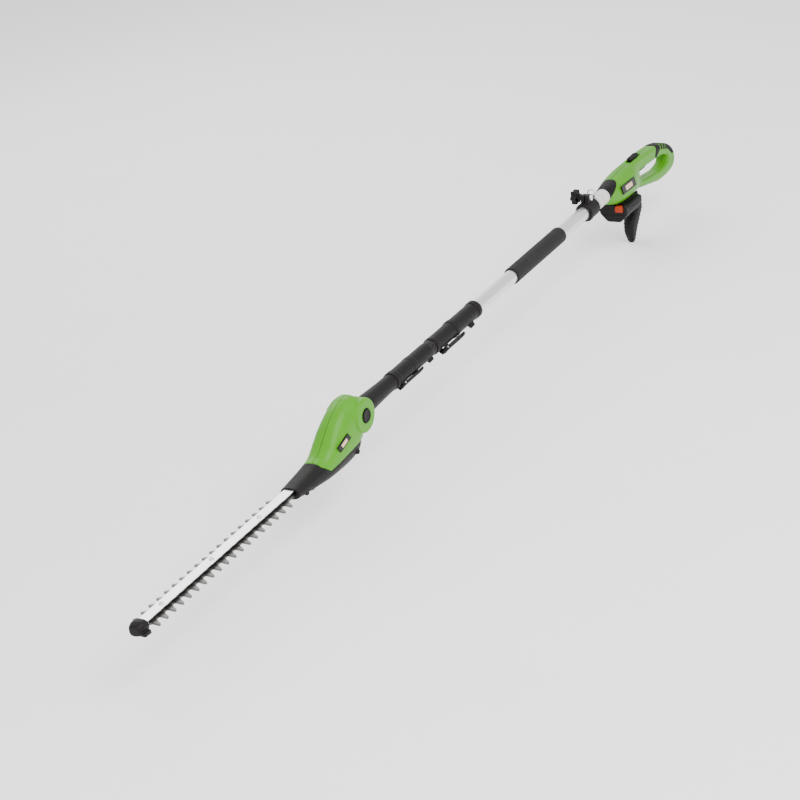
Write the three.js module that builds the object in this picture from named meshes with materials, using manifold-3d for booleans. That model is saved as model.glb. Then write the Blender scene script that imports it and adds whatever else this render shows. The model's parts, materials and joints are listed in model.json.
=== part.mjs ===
// Cordless pole hedge trimmer, in millimetres, +Z up.
// Tool coordinates: x forward to the blade tip, y to the user's left, z up from the pole's axis.
// The whole tool is then moved so that the row's origin is the bottom centre of its box.
import * as THREE from 'three';
import { mergeVertices } from 'three/addons/utils/BufferGeometryUtils.js';
import Module from 'manifold-3d';

const wasm = await Module();
wasm.setup();

// ---- driving dimensions ----
const GAP = 0.3;
const ORIGIN = new THREE.Vector3(236.5, 0, 154);   // tool coordinates -> row coordinates
const POLE_R = 14.5;
const POLE_WALL = 1.3;
const POLE_FRONT = -238;
const POLE_REAR = -1060;
const MIDDLE_R = 15.6;
const LEVER_ROLL = Math.PI / 4;                  // the two clamp levers sit at the pole's lower left
const PIVOT = { x: 137, z: 5 };                  // head tilt axis
const EAR_GAP = 12.8;                            // half the gap between the head's two ears
const KNUCKLE_ROOM = 36.5;                       // the ears' roof clears the knuckle by this radius
const CAP_R = 13.4;                              // the tilt button and the cap opposite
const BLADE_Z = { lower: -44.4, upper: -42.2, thick: 1.9 };
const TOOTH = { count: 19, pitch: 23, first: 402, tip: 27, core: 10.5 };
const BLADE_END = 827;
const STROKE = 15;
const BAR = { half: 9.75, bottom: -39.9, top: -33.2 };
const BOLT_X = [470, 622, 774];
const GEAR = { x: 230, bottom: -38.6, top: -33, module: 1.5, big: 32, small: 8 };
const MOTOR_R = 16;
const CLAMP = { x: -894, length: 44, outer: 20.5, boltZ: 28 };
const RING = { x: -908, y: 6, z: 23, radius: 9, wire: 1.4 };
const GRIP_HALF = 16.5;
const TRIGGER_PIVOT = { x: -1208, z: 0 };
const BATTERY = { front: -1014, rear: -1096, half: 33, top: -40.3, side: -58, split: -60, bottom: -77 };
const RAIL = { neck: 20, flange: 25 };
const STAND_BOTTOM = -154;

const GEAR_DISTANCE = GEAR.module * (GEAR.big + GEAR.small) / 2;
const MOTOR_X = GEAR.x - GEAR_DISTANCE;

// ---- materials ----
const paint = (color, roughness, metalness) => (
  new THREE.MeshStandardMaterial({ color, roughness, metalness }));
const GREEN = () => paint(0x73b043, 0.4, 0);
const BLACK = () => paint(0x2a2827, 0.55, 0);
const RUBBER = () => paint(0x1f1d1d, 0.85, 0);
const ALUMINIUM = () => paint(0xc9c9cc, 0.35, 0.9);
const STEEL = () => paint(0xb4b4b6, 0.35, 0.95);
const DARK_STEEL = () => paint(0x55534f, 0.45, 0.9);
const RED = () => paint(0xc8452b, 0.45, 0);
const BRASS = () => paint(0xb08d4a, 0.4, 0.9);
const BOARD = () => paint(0x1e5a37, 0.6, 0);
const GREY = () => paint(0xd6d4d2, 0.5, 0);

// ---- solids: geometry in, boolean, geometry out ----
function signedVolume(positions, index) {
  let six = 0;
  const corner = [new THREE.Vector3(), new THREE.Vector3(), new THREE.Vector3()];
  for (let i = 0; i < index.length; i += 3) {
    corner.forEach((point, k) => point.fromArray(positions, 3 * index[i + k]));
    six += corner[0].dot(corner[1].cross(corner[2]));
  }
  return six / 6;
}

function solid(geometry) {
  geometry.deleteAttribute('normal');
  geometry.deleteAttribute('uv');
  const merged = mergeVertices(geometry, 1e-4);
  const positions = Float32Array.from(merged.attributes.position.array);
  const corners = Array.from(merged.index.array);
  const index = [];
  for (let i = 0; i < corners.length; i += 3) {
    const [a, b, c] = corners.slice(i, i + 3);
    if (a !== b && b !== c && c !== a) index.push(a, b, c);
  }
  if (signedVolume(positions, index) < 0) {
    for (let i = 0; i < index.length; i += 3) [index[i], index[i + 1]] = [index[i + 1], index[i]];
  }
  const triVerts = Uint32Array.from(index);
  return new wasm.Manifold(new wasm.Mesh({ numProp: 3, vertProperties: positions, triVerts }));
}

function geometryOf(shape) {
  const mesh = shape.getMesh();
  const geometry = new THREE.BufferGeometry();
  geometry.setAttribute('position', new THREE.BufferAttribute(Float32Array.from(mesh.vertProperties), 3));
  geometry.setIndex(new THREE.BufferAttribute(Uint32Array.from(mesh.triVerts), 1));
  geometry.computeVertexNormals();
  return geometry;
}

const join = (first, ...rest) => rest.reduce((whole, piece) => whole.add(piece), first);
const cut = (first, ...rest) => rest.reduce((whole, piece) => whole.subtract(piece), first);

function part(name, shape, material, parent) {
  const mesh = new THREE.Mesh(geometryOf(shape), material);
  mesh.name = name;
  parent.add(mesh);
  return mesh;
}

// ---- basic shapes ----
function box(x0, x1, y0, y1, z0, z1) {
  const geometry = new THREE.BoxGeometry(x1 - x0, y1 - y0, z1 - z0);
  return solid(geometry.translate((x0 + x1) / 2, (y0 + y1) / 2, (z0 + z1) / 2));
}

function rodY(radius, x, z, y0, y1, sides = 24) {
  const geometry = new THREE.CylinderGeometry(radius, radius, y1 - y0, sides);
  return solid(geometry.translate(x, (y0 + y1) / 2, z));
}

function rodZ(radius, x, y, z0, z1, sides = 24) {
  const geometry = new THREE.CylinderGeometry(radius, radius, z1 - z0, sides).rotateX(Math.PI / 2);
  return solid(geometry.translate(x, y, (z0 + z1) / 2));
}

// A body turned about the x axis. profile: [x, radius] pairs of the outside, inner: radius of the bore.
function turnedX(profile, inner = 0, sides = 24) {
  const ends = [profile[0][0], profile[profile.length - 1][0]];
  const points = profile.map(([x, r]) => new THREE.Vector2(r, x));
  const closing = [new THREE.Vector2(inner, ends[1]), new THREE.Vector2(inner, ends[0])];
  const loop = inner > 0 ? [...points, ...closing, points[0].clone()] : [closing[1], ...points, closing[0]];
  return solid(new THREE.LatheGeometry(loop, sides).rotateZ(-Math.PI / 2));
}

const tubeX = (x0, x1, outer, inner, sides = 24) => turnedX([[x0, outer], [x1, outer]], inner, sides);

// A side outline in x and z, given thickness from y0 to y1, with rounded edges where round > 0.
function sideSolid(shape, y0, y1, round = 0, steps = 2) {
  const geometry = new THREE.ExtrudeGeometry(shape, {
    depth: y1 - y0 - 2 * round, steps: 1, curveSegments: 4,
    bevelEnabled: round > 0, bevelThickness: round,
    bevelSize: round, bevelOffset: -round, bevelSegments: steps,
  });
  return solid(geometry.rotateX(Math.PI / 2).translate(0, y1 - round, 0));
}

// A plan outline in x and y, given height from z0 to z1.
function planSolid(shape, z0, z1) {
  const options = { depth: z1 - z0, bevelEnabled: false, curveSegments: 3 };
  const geometry = new THREE.ExtrudeGeometry(shape, options);
  return solid(geometry.translate(0, 0, z0));
}

const outline = (points) => new THREE.Shape(points.map(([a, b]) => new THREE.Vector2(a, b)));
const sidePlate = (points, y0, y1, round = 0) => sideSolid(outline(points), y0, y1, round);

function roundedOutline(points, radius) {
  const shape = new THREE.Shape();
  const corners = points.map(([a, b]) => new THREE.Vector2(a, b));
  corners.forEach((corner, i) => {
    const before = corners[(i + corners.length - 1) % corners.length];
    const after = corners[(i + 1) % corners.length];
    const into = before.clone().sub(corner);
    const out = after.clone().sub(corner);
    const start = corner.clone().add(into.setLength(Math.min(radius, into.length() * 0.45)));
    const end = corner.clone().add(out.setLength(Math.min(radius, out.length() * 0.45)));
    if (i === 0) shape.moveTo(start.x, start.y);
    else shape.lineTo(start.x, start.y);
    shape.quadraticCurveTo(corner.x, corner.y, end.x, end.y);
  });
  shape.closePath();
  return shape;
}

// A closed body through oval sections along x: each { x, half, top, bottom } is a super-ellipse.
function oval(sections, power = 2.4, around = 24) {
  const rows = sections.length - 1;
  const geometry = new THREE.CylinderGeometry(1, 1, rows, around, rows, false);
  const spots = geometry.attributes.position;
  const bend = (value) => Math.sign(value) * Math.abs(value) ** (2 / power);
  for (let i = 0; i < spots.count; i += 1) {
    const section = sections[Math.round(spots.getY(i) + rows / 2)];
    const reach = Math.hypot(spots.getX(i), spots.getZ(i));
    const turn = Math.atan2(spots.getZ(i), spots.getX(i));
    const middle = (section.top + section.bottom) / 2;
    const tall = (section.top - section.bottom) / 2;
    const y = reach * section.half * bend(Math.cos(turn));
    spots.setXYZ(i, section.x, y, middle + reach * tall * bend(Math.sin(turn)));
  }
  return solid(geometry);
}

const shrink = (sections, wall) => sections.map(({ x, half, top, bottom }) => (
  { x, half: half - wall, top: top - wall, bottom: bottom + wall }));

const left = (shape) => shape.intersect(box(-1500, 1500, GAP / 2, 200, -300, 300));
const right = (shape) => shape.intersect(box(-1500, 1500, -200, -GAP / 2, -300, 300));

// ---- head: two green shells over a black gear cover ----
const HEAD_BODY = [
  { x: 150, half: 29, top: 47, bottom: -60 },
  { x: 165, half: 31, top: 45.5, bottom: -66 },
  { x: 183, half: 31.3, top: 40.5, bottom: -68.5 },
  { x: 200, half: 30.8, top: 33, bottom: -69.5 },
  { x: 221, half: 30, top: 20.5, bottom: -69 },
  { x: 241, half: 28.8, top: 4, bottom: -68 },
  { x: 258, half: 27.2, top: -10.5, bottom: -66.5 },
  { x: 272, half: 26, top: -17.8, bottom: -65 },
  { x: 300, half: 24.6, top: -23.6, bottom: -61 },
  { x: 340, half: 22, top: -27.5, bottom: -56 },
  { x: 368, half: 20, top: -30, bottom: -52 },
];
const EAR_BODY = [
  { x: 112, half: 24, top: 27, bottom: -16 },
  { x: 125, half: 28.5, top: 38.5, bottom: -24 },
  { x: 140, half: 30.5, top: 46, bottom: -29 },
  { x: 160, half: 31, top: 47, bottom: -32 },
  { x: 176, half: 31, top: 42.5, bottom: -35 },
];
const EAR_BOSS = [
  [-30.4, 22], [-29, 26], [-25, 27.5], [8, 27.5],
  [12, 33], [28, 33], [31.6, 31.6], [33, 28.5],
];
// The line where green meets black, seen from the side: nose, front corner, lower corner, rear.
const SEAM = [[286.5, 60], [286.5, -20], [287, -27], [267, -44], [150, -33]];

function headShells() {
  const wall = 2.6;
  const outer = oval(HEAD_BODY);
  const above = sidePlate([...SEAM, [90, -32], [90, 60]], -50, 50);
  const hollow = oval(shrink(HEAD_BODY.slice(1, 10), wall));
  const shells = cut(
    join(outer.intersect(above), oval(EAR_BODY), aboutPivot(EAR_BOSS, 32)),
    hollow,
    box(95, PIVOT.x + 1, -EAR_GAP, EAR_GAP, -60, 60),
    rodY(KNUCKLE_ROOM, PIVOT.x, PIVOT.z, -EAR_GAP, EAR_GAP, 40),
    rodY(5.3, PIVOT.x, PIVOT.z, -60, 24.6),
    rodY(CAP_R + 0.4, PIVOT.x, PIVOT.z, 25.4, 60),
    badge(HEAD_BADGE, GAP),
  );
  return { left: left(shells), right: right(shells) };
}

function gearCover() {
  const wall = 2.8;
  const rear = 158;
  const [corner, front, low] = SEAM.slice(1, 4);
  const seam = [
    [corner[0] + GAP, corner[1] + GAP], [front[0] + 2 * GAP, front[1]], [low[0] + GAP, low[1] - GAP],
  ];
  const below = sidePlate([
    ...seam, [rear, -34.2], [rear, -90], [400, -90], [400, 10], [SEAM[0][0] + GAP, 10],
  ], -60, 60);
  const hollow = oval(shrink(HEAD_BODY.slice(1, 10), wall));
  const bladeSlot = box(330, 400, -11.4, 11.4, -44.8, BAR.top + GAP);
  const screws = [-1, 1].map((side) => join(
    rodZ(2.3, 318, 14.5 * side, -80, -40, 16),
    rodZ(4.3, 318, 14.5 * side, -80, -55.6, 16),
  ));
  return cut(oval(HEAD_BODY).intersect(below), hollow, bladeSlot, ...screws,
    rodY(38.5, PIVOT.x, PIVOT.z, -60, 60, 40));
}

function aboutPivot(profile, sides = 24) {
  return turnedX(profile, 0, sides).rotate([0, 0, 90]).translate([PIVOT.x, 0, PIVOT.z]);
}

const tiltButton = () => aboutPivot([[29, CAP_R], [34, CAP_R], [35.5, CAP_R - 1.8]]);
const pivotCap = () => aboutPivot([[-35.5, 9], [-34, 11.5], [-30.7, 11.5]]);

// A blank slanted nameplate let into the left side; slope in degrees lowers its front end.
const HEAD_BADGE = { x: 218, z: -11, y: 28.4, thick: 2.6, length: 46, height: 14.5, slope: 15 };
const HANDLE_BADGE = { x: -1048, z: -2.5, y: 26.4, thick: 2.6, length: 76, height: 21, slope: -2 };

function badge({ x, z, y, thick, length, height, slope }, grow = 0) {
  const half = length / 2 + grow;
  const tall = height / 2 + grow;
  const lean = height * 0.35;
  const plate = sidePlate([[-half, -tall], [half - lean, -tall], [half, tall], [lean - half, tall]],
    -grow, grow > 0 ? 20 : thick);
  return plate.rotate([0, slope, 0]).translate([x, y, z]);
}

// ---- gears and blades ----
function gear(teeth, x, phase, z0, z1) {
  const pitchRadius = GEAR.module * teeth / 2;
  const tip = pitchRadius + GEAR.module * 0.9;
  const root = pitchRadius - GEAR.module * 1.25;
  const step = 2 * Math.PI / teeth;
  const points = [];
  for (let i = 0; i < teeth; i += 1) {
    const middle = phase + i * step;
    const widths = [[root, -0.31], [tip, -0.13], [tip, 0.13], [root, 0.31]];
    widths.forEach(([r, share]) => {
      const angle = middle + share * step;
      points.push([x + r * Math.cos(angle), r * Math.sin(angle)]);
    });
  }
  return planSolid(outline(points), z0, z1);
}

function crankGear() {
  const crank = STROKE / 2;
  const halfStep = Math.PI / GEAR.big;
  const wheel = gear(GEAR.big, GEAR.x, Math.PI + halfStep, GEAR.bottom, GEAR.top);
  const pins = [-1, 1].map((side) => (
    rodZ(3.2, GEAR.x, side * crank, side > 0 ? -42.4 : -44.4, GEAR.bottom + 1, 16)));
  return cut(join(wheel, ...pins), rodZ(3.05, GEAR.x, 0, -60, 0, 20));
}

function blade(z) {
  const { count, pitch, first, tip, core } = TOOTH;
  const side = (sign) => {
    const points = [];
    for (let i = 0; i < count; i += 1) {
      const x = first + i * pitch;
      const tooth = [[-8.5, core], [1.6, tip], [5.4, tip], [4, core]];
      tooth.forEach(([dx, y]) => points.push([x + dx, sign * y]));
    }
    return points;
  };
  const tail = [[258, 10.5], [250, 16.5], [214, 16.5], [206, 12]];
  const edge = [...side(1), [BLADE_END - 6, core], [BLADE_END, 6]];
  const back = [[BLADE_END, -6], [BLADE_END - 6, -core], ...side(-1).reverse()];
  const lowerTail = tail.map(([x, y]) => [x, -y]);
  const plan = outline([...edge, ...back, ...lowerTail, ...tail.reverse()]);
  const reach = STROKE + 3.6;
  const window = roundedOutline([[-reach, -12.2], [reach, -12.2], [reach, 12.2], [-reach, 12.2]], 6);
  const slots = BOLT_X.map((x) => {
    const half = STROKE / 2 + 3.2;
    const slot = [[x - half, -2.9], [x + half, -2.9], [x + half, 2.9], [x - half, 2.9]];
    return planSolid(roundedOutline(slot, 2.6), z - 1, z + 5);
  });
  const opening = planSolid(window, z - 1, z + 5).translate([GEAR.x, 0, 0]);
  return cut(planSolid(plan, z, z + BLADE_Z.thick), opening, ...slots);
}

function bladeBar() {
  const { half, bottom, top } = BAR;
  const plan = roundedOutline([[272, -half], [846, -half], [846, half], [272, half]], 3);
  const holes = BOLT_X.map((x) => rodZ(2.7, x, 0, bottom - 5, top + 5, 16));
  return cut(planSolid(plan, bottom, top), ...holes);
}

function bladeBolt(x) {
  return join(
    rodZ(4.4, x, 0, BAR.top + 0.1, BAR.top + 2.4, 12),
    rodZ(2.4, x, 0, -46.9, BAR.top + 1, 16),
    rodZ(4.6, x, 0, -47.6, -44.7, 6),
  );
}

function gearPlate() {
  const plan = roundedOutline([[206, -18], [332, -17], [332, 17], [206, 18]], 6);
  const holes = [-1, 1].map((side) => rodZ(2.3, 318, 14.5 * side, -60, -40, 16));
  return cut(planSolid(plan, -49.4, -46.8), ...holes, rodZ(3.3, GEAR.x, 0, -60, -40, 20));
}

function tipGuard() {
  const nose = [
    { x: 830, half: 13.2, top: -29, bottom: -49.5 },
    { x: 834, half: 14.8, top: -27, bottom: -51 },
    { x: 844, half: 14.8, top: -26.5, bottom: -51.5 },
    { x: 852, half: 12.5, top: -29, bottom: -50 },
    { x: 856, half: 9, top: -32, bottom: -48 },
  ];
  const lug = sidePlate([[834, -50.5], [852, -49.5], [852, -43], [836, -42]], 8, 20, 1.5);
  const room = box(815, BLADE_END + STROKE / 2 + 1, -11.4, 11.4, -44.8, BLADE_Z.upper + 2.2);
  const barRoom = box(815, 846 + GAP, -BAR.half - GAP, BAR.half + GAP, -41, BAR.top + GAP);
  return cut(join(oval(nose, 2.6, 24), lug), room, barRoom);
}

function buildHead(parent) {
  const shells = headShells();
  part('head_shell_left', shells.left, GREEN(), parent);
  part('head_shell_right', shells.right, GREEN(), parent);
  part('gear_cover', gearCover(), BLACK(), parent);
  part('tilt_button', tiltButton(), BLACK(), parent);
  part('tilt_pin_cap', pivotCap(), BLACK(), parent);
  part('tilt_pin', rodY(4.9, PIVOT.x, PIVOT.z, -30.4, 24.2), STEEL(), parent);
  part('head_badge', badge(HEAD_BADGE), BLACK(), parent);
  part('motor_can', rodZ(MOTOR_R, MOTOR_X, 0, -29, 16, 24), DARK_STEEL(), parent);
  part('drive_pinion', join(
    gear(GEAR.small, MOTOR_X, 0, GEAR.bottom, GEAR.top),
    rodZ(2.4, MOTOR_X, 0, GEAR.bottom, -29.4, 12),
  ), BRASS(), parent);
  part('crank_gear', crankGear(), STEEL(), parent);
  part('crank_axle', rodZ(2.98, GEAR.x, 0, -49.3, -30.5, 20), DARK_STEEL(), parent);
  part('gear_plate', gearPlate(), ALUMINIUM(), parent);
  part('blade_upper', blade(BLADE_Z.upper), DARK_STEEL(), parent);
  part('blade_lower', blade(BLADE_Z.lower), DARK_STEEL(), parent);
  part('blade_bar', bladeBar(), ALUMINIUM(), parent);
  BOLT_X.forEach((x, i) => part(`blade_bolt_${i + 1}`, bladeBolt(x), STEEL(), parent));
  part('tip_guard', tipGuard(), BLACK(), parent);
  [-1, 1].forEach((side, i) => {
    const head = rodZ(4, 318, 14.5 * side, -57.6, -55.9, 12);
    const shank = rodZ(1.9, 318, 14.5 * side, -56.4, -44.9, 12);
    part(`plate_screw_${i + 1}`, join(head, shank), STEEL(), parent);
  });
}

// ---- neck between head and coupler ----
function neckTube() {
  const profile = [[-92, POLE_R], [-9, POLE_R], [-8.7, 16], [0, 16], [40, 17], [75, 18.6], [92, 19]];
  return cut(turnedX(profile), turnedX([[-95, 12.6], [80, 12.6]]));
}

function knuckle() {
  const side = [[92.4, -17], [137, -17], [158, -8], [158, 18], [137, 27], [92.4, 18]];
  const tongue = roundedOutline(side, 14);
  const half = EAR_GAP - GAP;
  const bounds = box(90, 99, -half - 4, half + 4, -30, 30);
  const collar = turnedX([[92.3, 19], [94, 19], [95.5, 16]]).intersect(bounds);
  const ball = rodY(22, PIVOT.x, PIVOT.z, -half, half, 24);
  const pinHole = rodY(4.96, PIVOT.x, PIVOT.z, -30, 30, 24);
  return cut(join(sideSolid(tongue, -half, half, 2), collar, ball), pinHole);
}

// ---- coupler: two lever clamps on a middle tube ----
function clampBody(x0, profile, lever, lugX, lugReach) {
  const body = turnedX(profile.map(([x, r]) => [x0 + x, r]), MIDDLE_R + GAP);
  const ears = [-1, 1].map((side) => sidePlate([
    [lever.x - 8, -14], [lever.x + 8, -14],
    [lever.x + 5, -lever.z - 3.4], [lever.x - 5, -lever.z - 3.4],
  ], side > 0 ? 7.6 : -10.4, side > 0 ? 10.4 : -7.6));
  const lugSide = [[lugX - 8, -14], [lugX + 7, -14], [lugX + 4, -lugReach], [lugX - 3, -lugReach]];
  const lug = sidePlate(lugSide, -5, 5, 1);
  const bore = turnedX([[x0 - 170, MIDDLE_R + GAP], [x0 + 30, MIDDLE_R + GAP]]);
  const pinHole = rodY(1.75, lever.x, -lever.z, -30, 30, 16);
  const room = sidePlate([
    [lever.x - 9, -lever.z + 7], [lever.x + 9, -lever.z + 7], [lever.x + 9, -40], [lever.x - 9, -40],
  ], -7.3, 7.3);
  return cut(join(body, ...ears, lug), bore, pinHole, room);
}

// x, z: the lever's pin; reach: outer face; length: along the pole to the free end.
function clampLever({ x, z, reach, length, inner, knobR }) {
  const arm = outline([
    [x + 3, -inner], [x + 3, -reach], [x - length + 6, -reach],
    [x - length, -reach + 3], [x - length + 2, -inner],
  ]);
  const knob = rodY(knobR, x, -z, -7, 7, 20);
  return cut(join(sideSolid(arm, -7, 7, 1.2), knob), rodY(1.75, x, -z, -10, 10, 16));
}

const FRONT_LEVER = { x: -31, z: 20, reach: 23.4, length: 76, inner: 17.6, knobR: 4.4 };
const REAR_LEVER = { x: -198, z: 22.8, reach: 26.8, length: 76, inner: 19.4, knobR: 5.2 };

function buildCoupler(parent) {
  const coupler = new THREE.Group();
  coupler.rotation.x = LEVER_ROLL;
  parent.add(coupler);
  part('middle_tube', tubeX(-350, -9.6, MIDDLE_R, POLE_R + GAP), BLACK(), coupler);
  const front = [[-152, 16.6], [-92, 16.6], [-91, 17.5], [-80, 17.5],
    [-79, 16.8], [-28, 16.8], [-27, 17.8], [-12, 17.8]];
  part('front_clamp', clampBody(0, front, FRONT_LEVER, -144, 22), BLACK(), coupler);
  const rear = [[-172, 17.2], [-94, 17.2], [-93, 18.6], [-80, 18.6],
    [-79, 16.9], [-12, 16.9], [-11, 17.5], [0, 17.5]];
  part('rear_clamp', clampBody(-171, rear, REAR_LEVER, -313, 25), BLACK(), coupler);
  part('end_ring', cut(turnedX([[-358, 17], [-356.5, 18.4], [-344.5, 18.4], [-343.3, 17.6]]),
    turnedX([[-370, POLE_R + GAP], [-340, POLE_R + GAP]]),
    turnedX([[-350 - GAP, MIDDLE_R + GAP], [-340, MIDDLE_R + GAP]])), BLACK(), coupler);
  part('front_lever', clampLever(FRONT_LEVER), BLACK(), coupler);
  part('rear_lever', clampLever(REAR_LEVER), BLACK(), coupler);
  part('front_lever_pin', rodY(1.7, FRONT_LEVER.x, -FRONT_LEVER.z, -10.2, 10.2, 16), STEEL(), coupler);
  part('rear_lever_pin', rodY(1.7, REAR_LEVER.x, -REAR_LEVER.z, -10.2, 10.2, 16), STEEL(), coupler);
}

// ---- pole, grip and strap clamp ----
function clampRing() {
  const { x, length, outer, boltZ } = CLAMP;
  const band = turnedX([[x - length / 2, outer - 1.5], [x - length / 2 + 2, outer],
    [x + length / 2 - 2, outer], [x + length / 2, outer - 1.5]], POLE_R + 0.1);
  const ears = sidePlate([[x - 11, 13], [x + 13, 13], [x + 9, boltZ + 6.5], [x - 6, boltZ + 6.5]], -9, 9, 1);
  const foot = sidePlate([[x - 13, -18], [x + 13, -18], [x + 9, -23.5], [x - 9, -23.5]], -6, 6, 1);
  const eyeTop = RING.z + 5.5;
  const eyeSide = [[RING.x - 6, 14], [RING.x + 6, 14], [RING.x + 5, eyeTop], [RING.x - 5, eyeTop]];
  const eye = sidePlate(eyeSide, 3.5, 8.5, 1);
  const bore = turnedX([[x - 60, POLE_R + 0.1], [x + 60, POLE_R + 0.1]]);
  const eyeHole = rodY(3.2, RING.x, RING.z, 0, 20, 16);
  const whole = cut(join(band, ears, foot, eye), bore, eyeHole, rodY(3.3, x, boltZ, -20, 20, 16));
  return {
    left: whole.intersect(box(-1000, -800, 1, 50, -50, 60)),
    right: whole.intersect(box(-1000, -800, -50, -1, -50, 60)),
  };
}

function starKnob() {
  const lobes = 6;
  const shape = new THREE.Shape();
  const steps = lobes * 5;
  for (let i = 0; i <= steps; i += 1) {
    const angle = i / steps * 2 * Math.PI;
    const r = 14.6 + 2.2 * Math.cos(lobes * angle);
    const point = [CLAMP.x + r * Math.cos(angle), CLAMP.boltZ + r * Math.sin(angle)];
    if (i === 0) shape.moveTo(...point);
    else if (i < steps) shape.lineTo(...point);
  }
  const hub = rodY(7, CLAMP.x, CLAMP.boltZ, -20, -9.6, 20);
  return cut(join(sideSolid(shape, -33, -19, 2, 1), hub), rodY(3.02, CLAMP.x, CLAMP.boltZ, -28, 0, 20));
}

function strapRing() {
  const torus = new THREE.TorusGeometry(RING.radius, RING.wire, 8, 20).rotateY(Math.PI / 2);
  return solid(torus.translate(RING.x, RING.y, RING.z + RING.radius));
}

function buildPole(parent) {
  part('pole_tube', tubeX(POLE_REAR, POLE_FRONT, POLE_R, POLE_R - POLE_WALL), ALUMINIUM(), parent);
  const foam = [[-750, 16.8], [-747, 17.8], [-524, 17.8], [-521, 16.8]];
  part('foam_grip', turnedX(foam, POLE_R + 0.1), RUBBER(), parent);
  const halves = clampRing();
  part('strap_clamp_left', halves.left, BLACK(), parent);
  part('strap_clamp_right', halves.right, BLACK(), parent);
  const boltHead = rodY(6, CLAMP.x, CLAMP.boltZ, 9.3, 13, 6);
  const boltShank = rodY(2.98, CLAMP.x, CLAMP.boltZ, -27.6, 10, 20);
  part('clamp_bolt', join(boltHead, boltShank), STEEL(), parent);
  part('clamp_knob', starKnob(), BLACK(), parent);
  part('strap_ring', strapRing(), STEEL(), parent);
  part('tube_collar', turnedX([[-973.6, 16.8], [-930, 16.8], [-927, 15.8]], POLE_R + 0.1), GREY(), parent);
}

// ---- rear handle ----
const BARREL = [
  { x: -974, half: 17.6, top: 17.6, bottom: -18 },
  { x: -985, half: 19.5, top: 18.6, bottom: -24 },
  { x: -1000, half: 22.5, top: 20, bottom: -30 },
  { x: -1018, half: 25.6, top: 22, bottom: -35 },
  { x: -1040, half: 27.8, top: 24, bottom: -38.5 },
  { x: -1065, half: 28.5, top: 25.5, bottom: -39.5 },
  { x: -1090, half: 27.6, top: 26.5, bottom: -40 },
  { x: -1110, half: 24, top: 26, bottom: -40.5 },
  { x: -1128, half: 19, top: 24, bottom: -40.5 },
  { x: -1138, half: 14, top: 20, bottom: -38 },
];
const BARREL_POWER = 2.7;
// The slanted joint between the black mouth collar and the green shells, seen from the side.
const MOUTH = { top: -1050, bottom: -900 };

function behindMouth(shift) {
  const side = [[MOUTH.top + shift, 40], [-1400, 40], [-1400, -90], [MOUTH.bottom + shift, -50]];
  return sidePlate(side, -60, 60);
}

function handleLoop() {
  const shape = new THREE.Shape();
  shape.moveTo(-1080, 26);
  shape.lineTo(-1120, 27);
  shape.quadraticCurveTo(-1200, 27, -1250, 19);
  shape.quadraticCurveTo(-1312, 8, -1328, -26);
  shape.quadraticCurveTo(-1334, -52, -1306, -60);
  shape.quadraticCurveTo(-1272, -67, -1230, -62);
  shape.quadraticCurveTo(-1170, -50, -1130, -40.8);
  shape.lineTo(-1080, -40.4);
  shape.closePath();
  const hole = new THREE.Path();
  hole.moveTo(-1128, -2);
  hole.quadraticCurveTo(-1122, -8, -1128, -17);
  hole.quadraticCurveTo(-1136, -28, -1158, -31);
  hole.lineTo(-1240, -41);
  hole.quadraticCurveTo(-1290, -42, -1290, -26);
  hole.quadraticCurveTo(-1286, -14, -1254, -9.5);
  hole.quadraticCurveTo(-1180, -3, -1128, -2);
  shape.holes.push(hole);
  return sideSolid(shape, -GRIP_HALF, GRIP_HALF, 6);
}

// The soft black saddle over the top rear of the grip, as a side outline.
const SADDLE = [
  [-1236, 60], [-1236, 24], [-1221, -1], [-1230, -3], [-1250, 8],
  [-1292, -5], [-1312, -24], [-1360, -30], [-1360, 60],
];

function housing() {
  const saddleRoom = sidePlate(SADDLE.map(([x, z]) => [x + GAP, z - GAP]), -60, 60);
  const triggerSide = [[-1217, -20], [-1121, -20], [-1121, 13], [-1150, 13], [-1217, 8]];
  const triggerRoom = sidePlate(triggerSide, -6.8, 6.8);
  const triggerPinHole = rodY(2.1, TRIGGER_PIVOT.x, TRIGGER_PIVOT.z, -12, 12, 16);
  const switchRoom = box(-1122, -1086, -9.5, 9.5, -14, 13);
  const lockRoom = box(-1168, -1112, -6.4, 6.4, 16, 60);
  const screwHoles = HANDLE_SCREWS.map(([x, z]) => (
    join(rodY(1.8, x, z, -40, 12, 12), rodY(3.6, x, z, -40, -11.6, 12))));
  const poleRoom = turnedX([[-1062, POLE_R + GAP], [-900, POLE_R + GAP]]);
  const hollow = oval(shrink(BARREL.slice(1, 7), 2.6), BARREL_POWER);
  const floorCut = box(-1140, -1000, -RAIL.neck, RAIL.neck, -60, -37.9);
  const barrel = oval(BARREL, BARREL_POWER).intersect(behindMouth(-GAP));
  return cut(
    join(barrel, handleLoop()),
    badge(HANDLE_BADGE, GAP), saddleRoom, triggerRoom, triggerPinHole, switchRoom, lockRoom,
    ...screwHoles, poleRoom, hollow, floorCut,
  );
}

const HANDLE_SCREWS = [[-1104, -28], [-1230, -51], [-1308, -38]];

function trigger() {
  const { x, z } = TRIGGER_PIVOT;
  const shape = outline([[x - 5, z + 4], [x - 6, z - 7], [x + 30, z - 12], [-1140, -10], [-1125, -9],
    [-1123.5, -1], [-1123.5, 2.5], [-1150, 2.5]]);
  return cut(sideSolid(shape, -6.2, 6.2, 1.2), rodY(2.15, x, z, -20, 20, 16));
}

function lockButton() {
  const pad = roundedOutline([[-1160, -6], [-1118, -6], [-1118, 6], [-1160, 6]], 5);
  const stem = box(-1152, -1126, -5, 5, 17, 29);
  return join(planSolid(pad, 27.8, 32.4), stem);
}

function saddle() {
  const loop = handleLoop();
  return loop.intersect(sidePlate(SADDLE, -60, 60));
}

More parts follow.
